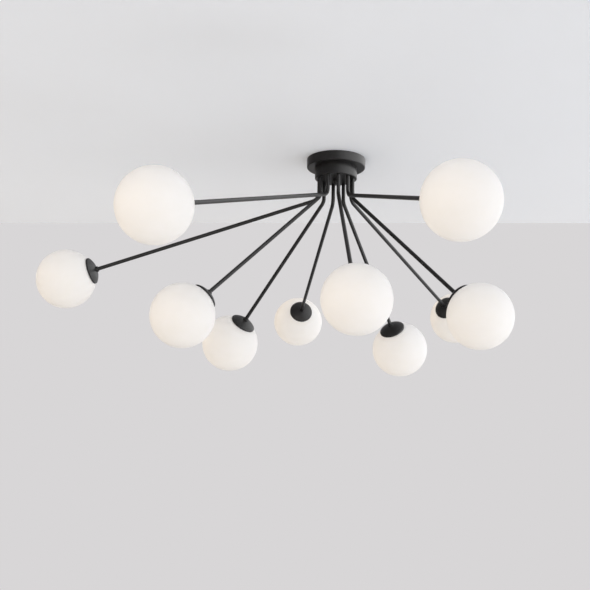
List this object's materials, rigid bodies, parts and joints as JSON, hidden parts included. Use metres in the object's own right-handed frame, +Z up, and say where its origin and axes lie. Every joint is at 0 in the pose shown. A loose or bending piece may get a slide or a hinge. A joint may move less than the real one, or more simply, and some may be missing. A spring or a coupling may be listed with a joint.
{
  "type": "ceiling light",
  "caption": "Branching flush-mounted ceiling light: opal glass globes on bent tube stems that fan out and down from a two-tier round canopy.",
  "frame": {"origin": "on the ceiling plane, at the middle of the crossbar's slots and on the canopy's axis", "axes": "+Z up into the ceiling, -Y towards the room and the viewer, +X to the viewer's right; the globes hang below in -Z"},
  "size_m": [1.0626, 1.2951, 0.4392],
  "materials": {
    "black_coat": "matte black powder coat",
    "opal_glass": "satin opal white",
    "zinc_steel": "bright zinc plate",
    "lamp_ceramic": "satin white, with a frosted lamp",
    "seal_rubber": "matte white silicone",
    "white_nylon": "matte white"
  },
  "bodies": {
    "base": {"ceiling_bracket": "zinc_steel", "earth_screw": "zinc_steel", "terminal_block": "white_nylon", "threaded_nipple": "zinc_steel", "nipple_nut": "zinc_steel", "canopy": "black_coat", "hub": "black_coat", "finial": "black_coat", "stem_washers": "zinc_steel", "stem_nuts": "zinc_steel"},
    "arm_01": {"stem_01": "black_coat", "cap_01": "black_coat", "lamp_01": "lamp_ceramic"},
    "gasket_01": {"seal_01": "seal_rubber"},
    "shade_01": {"globe_01": "opal_glass"},
    "arm_02": {"stem_02": "black_coat", "cap_02": "black_coat", "lamp_02": "lamp_ceramic"},
    "gasket_02": {"seal_02": "seal_rubber"},
    "shade_02": {"globe_02": "opal_glass"},
    "arm_03": {"stem_03": "black_coat", "cap_03": "black_coat", "lamp_03": "lamp_ceramic"},
    "gasket_03": {"seal_03": "seal_rubber"},
    "shade_03": {"globe_03": "opal_glass"},
    "arm_04": {"stem_04": "black_coat", "cap_04": "black_coat", "lamp_04": "lamp_ceramic"},
    "gasket_04": {"seal_04": "seal_rubber"},
    "shade_04": {"globe_04": "opal_glass"},
    "arm_05": {"stem_05": "black_coat", "cap_05": "black_coat", "lamp_05": "lamp_ceramic"},
    "gasket_05": {"seal_05": "seal_rubber"},
    "shade_05": {"globe_05": "opal_glass"},
    "arm_06": {"stem_06": "black_coat", "cap_06": "black_coat", "lamp_06": "lamp_ceramic"},
    "gasket_06": {"seal_06": "seal_rubber"},
    "shade_06": {"globe_06": "opal_glass"},
    "arm_07": {"stem_07": "black_coat", "cap_07": "black_coat", "lamp_07": "lamp_ceramic"},
    "gasket_07": {"seal_07": "seal_rubber"},
    "shade_07": {"globe_07": "opal_glass"},
    "arm_08": {"stem_08": "black_coat", "cap_08": "black_coat", "lamp_08": "lamp_ceramic"},
    "gasket_08": {"seal_08": "seal_rubber"},
    "shade_08": {"globe_08": "opal_glass"},
    "arm_09": {"stem_09": "black_coat", "cap_09": "black_coat", "lamp_09": "lamp_ceramic"},
    "gasket_09": {"seal_09": "seal_rubber"},
    "shade_09": {"globe_09": "opal_glass"},
    "arm_10": {"stem_10": "black_coat", "cap_10": "black_coat", "lamp_10": "lamp_ceramic"},
    "gasket_10": {"seal_10": "seal_rubber"},
    "shade_10": {"globe_10": "opal_glass"}
  },
  "joints": [
    {"name": "stem_turn_01", "type": "hinge", "parent": "base", "child": "arm_01", "pos_m": [0.03595, -0.00764, -0.0445], "axis": [0, 0, 1], "range_deg": [-8, 58]},
    {"name": "globe_travel_01", "type": "slide", "parent": "arm_01", "child": "gasket_01", "axis": [0.5745, -0.4329, -0.6947], "range_m": [0, 0.006]},
    {"name": "globe_unscrew_01", "type": "hinge", "parent": "gasket_01", "child": "shade_01", "pos_m": [0.27264, -0.186, -0.3742], "axis": [0.5745, -0.4329, -0.6947], "range_deg": [0, 540]},
    {"name": "stem_turn_02", "type": "hinge", "parent": "base", "child": "arm_02", "pos_m": [0.03357, 0.01495, -0.0445], "axis": [0, 0, 1], "range_deg": [-66, 0]},
    {"name": "globe_travel_02", "type": "slide", "parent": "arm_02", "child": "gasket_02", "axis": [0.5208, 0.802, -0.2924], "range_m": [0, 0.006]},
    {"name": "globe_unscrew_02", "type": "hinge", "parent": "gasket_02", "child": "shade_02", "pos_m": [0.33983, 0.48654, -0.25991], "axis": [0.5208, 0.802, -0.2924], "range_deg": [0, 540]},
    {"name": "stem_turn_03", "type": "hinge", "parent": "base", "child": "arm_03", "pos_m": [0.01837, 0.03183, -0.0445], "axis": [0, 0, 1], "range_deg": [-32, 34]},
    {"name": "globe_travel_03", "type": "slide", "parent": "arm_03", "child": "gasket_03", "axis": [0.3705, 0.6166, -0.6947], "range_m": [0, 0.006]},
    {"name": "globe_unscrew_03", "type": "hinge", "parent": "gasket_03", "child": "shade_03", "pos_m": [0.17102, 0.28586, -0.3742], "axis": [0.3705, 0.6166, -0.6947], "range_deg": [0, 540]},
    {"name": "stem_turn_04", "type": "hinge", "parent": "base", "child": "arm_04", "pos_m": [-0.00384, 0.03655, -0.0445], "axis": [0, 0, 1], "range_deg": [-25, 32]},
    {"name": "globe_travel_04", "type": "slide", "parent": "arm_04", "child": "gasket_04", "axis": [-0.1165, 0.9492, -0.2924], "range_m": [0, 0.006]},
    {"name": "globe_unscrew_04", "type": "hinge", "parent": "gasket_04", "child": "shade_04", "pos_m": [-0.07237, 0.59466, -0.25991], "axis": [-0.1165, 0.9492, -0.2924], "range_deg": [0, 540]},
    {"name": "stem_turn_05", "type": "hinge", "parent": "base", "child": "arm_05", "pos_m": [-0.02459, 0.02731, -0.0445], "axis": [0, 0, 1], "range_deg": [-36, 30]},
    {"name": "globe_travel_05", "type": "slide", "parent": "arm_05", "child": "gasket_05", "axis": [-0.5087, 0.5087, -0.6947], "range_m": [0, 0.006]},
    {"name": "globe_unscrew_05", "type": "hinge", "parent": "gasket_05", "child": "shade_05", "pos_m": [-0.23415, 0.23687, -0.3742], "axis": [-0.5087, 0.5087, -0.6947], "range_deg": [0, 540]},
    {"name": "stem_turn_06", "type": "hinge", "parent": "base", "child": "arm_06", "pos_m": [-0.03595, 0.00764, -0.0445], "axis": [0, 0, 1], "range_deg": [-37, 29]},
    {"name": "globe_travel_06", "type": "slide", "parent": "arm_06", "child": "gasket_06", "axis": [-0.947, 0.1331, -0.2924], "range_m": [0, 0.006]},
    {"name": "globe_unscrew_06", "type": "hinge", "parent": "gasket_06", "child": "shade_06", "pos_m": [-0.59278, 0.0859, -0.25991], "axis": [-0.947, 0.1331, -0.2924], "range_deg": [0, 540]},
    {"name": "stem_turn_07", "type": "hinge", "parent": "base", "child": "arm_07", "pos_m": [-0.03357, -0.01495, -0.0445], "axis": [0, 0, 1], "range_deg": [-32, 34]},
    {"name": "globe_travel_07", "type": "slide", "parent": "arm_07", "child": "gasket_07", "axis": [-0.6622, -0.2811, -0.6947], "range_m": [0, 0.006]},
    {"name": "globe_unscrew_07", "type": "hinge", "parent": "gasket_07", "child": "shade_07", "pos_m": [-0.30638, -0.13075, -0.3742], "axis": [-0.6622, -0.2811, -0.6947], "range_deg": [0, 540]},
    {"name": "stem_turn_08", "type": "hinge", "parent": "base", "child": "arm_08", "pos_m": [-0.01837, -0.03183, -0.0445], "axis": [0, 0, 1], "range_deg": [-31, 30]},
    {"name": "globe_travel_08", "type": "slide", "parent": "arm_08", "child": "gasket_08", "axis": [-0.5068, -0.811, -0.2924], "range_m": [0, 0.006]},
    {"name": "globe_unscrew_08", "type": "hinge", "parent": "gasket_08", "child": "shade_08", "pos_m": [-0.31635, -0.50869, -0.25991], "axis": [-0.5068, -0.811, -0.2924], "range_deg": [0, 540]},
    {"name": "stem_turn_09", "type": "hinge", "parent": "base", "child": "arm_09", "pos_m": [0.00384, -0.03655, -0.0445], "axis": [0, 0, 1], "range_deg": [-31, 22]},
    {"name": "globe_travel_09", "type": "slide", "parent": "arm_09", "child": "gasket_09", "axis": [0.0502, -0.7176, -0.6947], "range_m": [0, 0.006]},
    {"name": "globe_unscrew_09", "type": "hinge", "parent": "gasket_09", "child": "shade_09", "pos_m": [0.02451, -0.33219, -0.3742], "axis": [0.0502, -0.7176, -0.6947], "range_deg": [0, 540]},
    {"name": "stem_turn_10", "type": "hinge", "parent": "base", "child": "arm_10", "pos_m": [0.02459, -0.02731, -0.0445], "axis": [0, 0, 1], "range_deg": [-6, 60]},
    {"name": "globe_travel_10", "type": "slide", "parent": "arm_10", "child": "gasket_10", "axis": [0.2475, -0.9237, -0.2924], "range_m": [0, 0.006]},
    {"name": "globe_unscrew_10", "type": "hinge", "parent": "gasket_10", "child": "shade_10", "pos_m": [0.17013, -0.57046, -0.25991], "axis": [0.2475, -0.9237, -0.2924], "range_deg": [0, 540]}
  ],
  "couplings": [
    {"joint": "globe_travel_01", "follows": "globe_unscrew_01", "m_per_rad": 0.00063662},
    {"joint": "globe_travel_02", "follows": "globe_unscrew_02", "m_per_rad": 0.00063662},
    {"joint": "globe_travel_03", "follows": "globe_unscrew_03", "m_per_rad": 0.00063662},
    {"joint": "globe_travel_04", "follows": "globe_unscrew_04", "m_per_rad": 0.00063662},
    {"joint": "globe_travel_05", "follows": "globe_unscrew_05", "m_per_rad": 0.00063662},
    {"joint": "globe_travel_06", "follows": "globe_unscrew_06", "m_per_rad": 0.00063662},
    {"joint": "globe_travel_07", "follows": "globe_unscrew_07", "m_per_rad": 0.00063662},
    {"joint": "globe_travel_08", "follows": "globe_unscrew_08", "m_per_rad": 0.00063662},
    {"joint": "globe_travel_09", "follows": "globe_unscrew_09", "m_per_rad": 0.00063662},
    {"joint": "globe_travel_10", "follows": "globe_unscrew_10", "m_per_rad": 0.00063662}
  ]
}
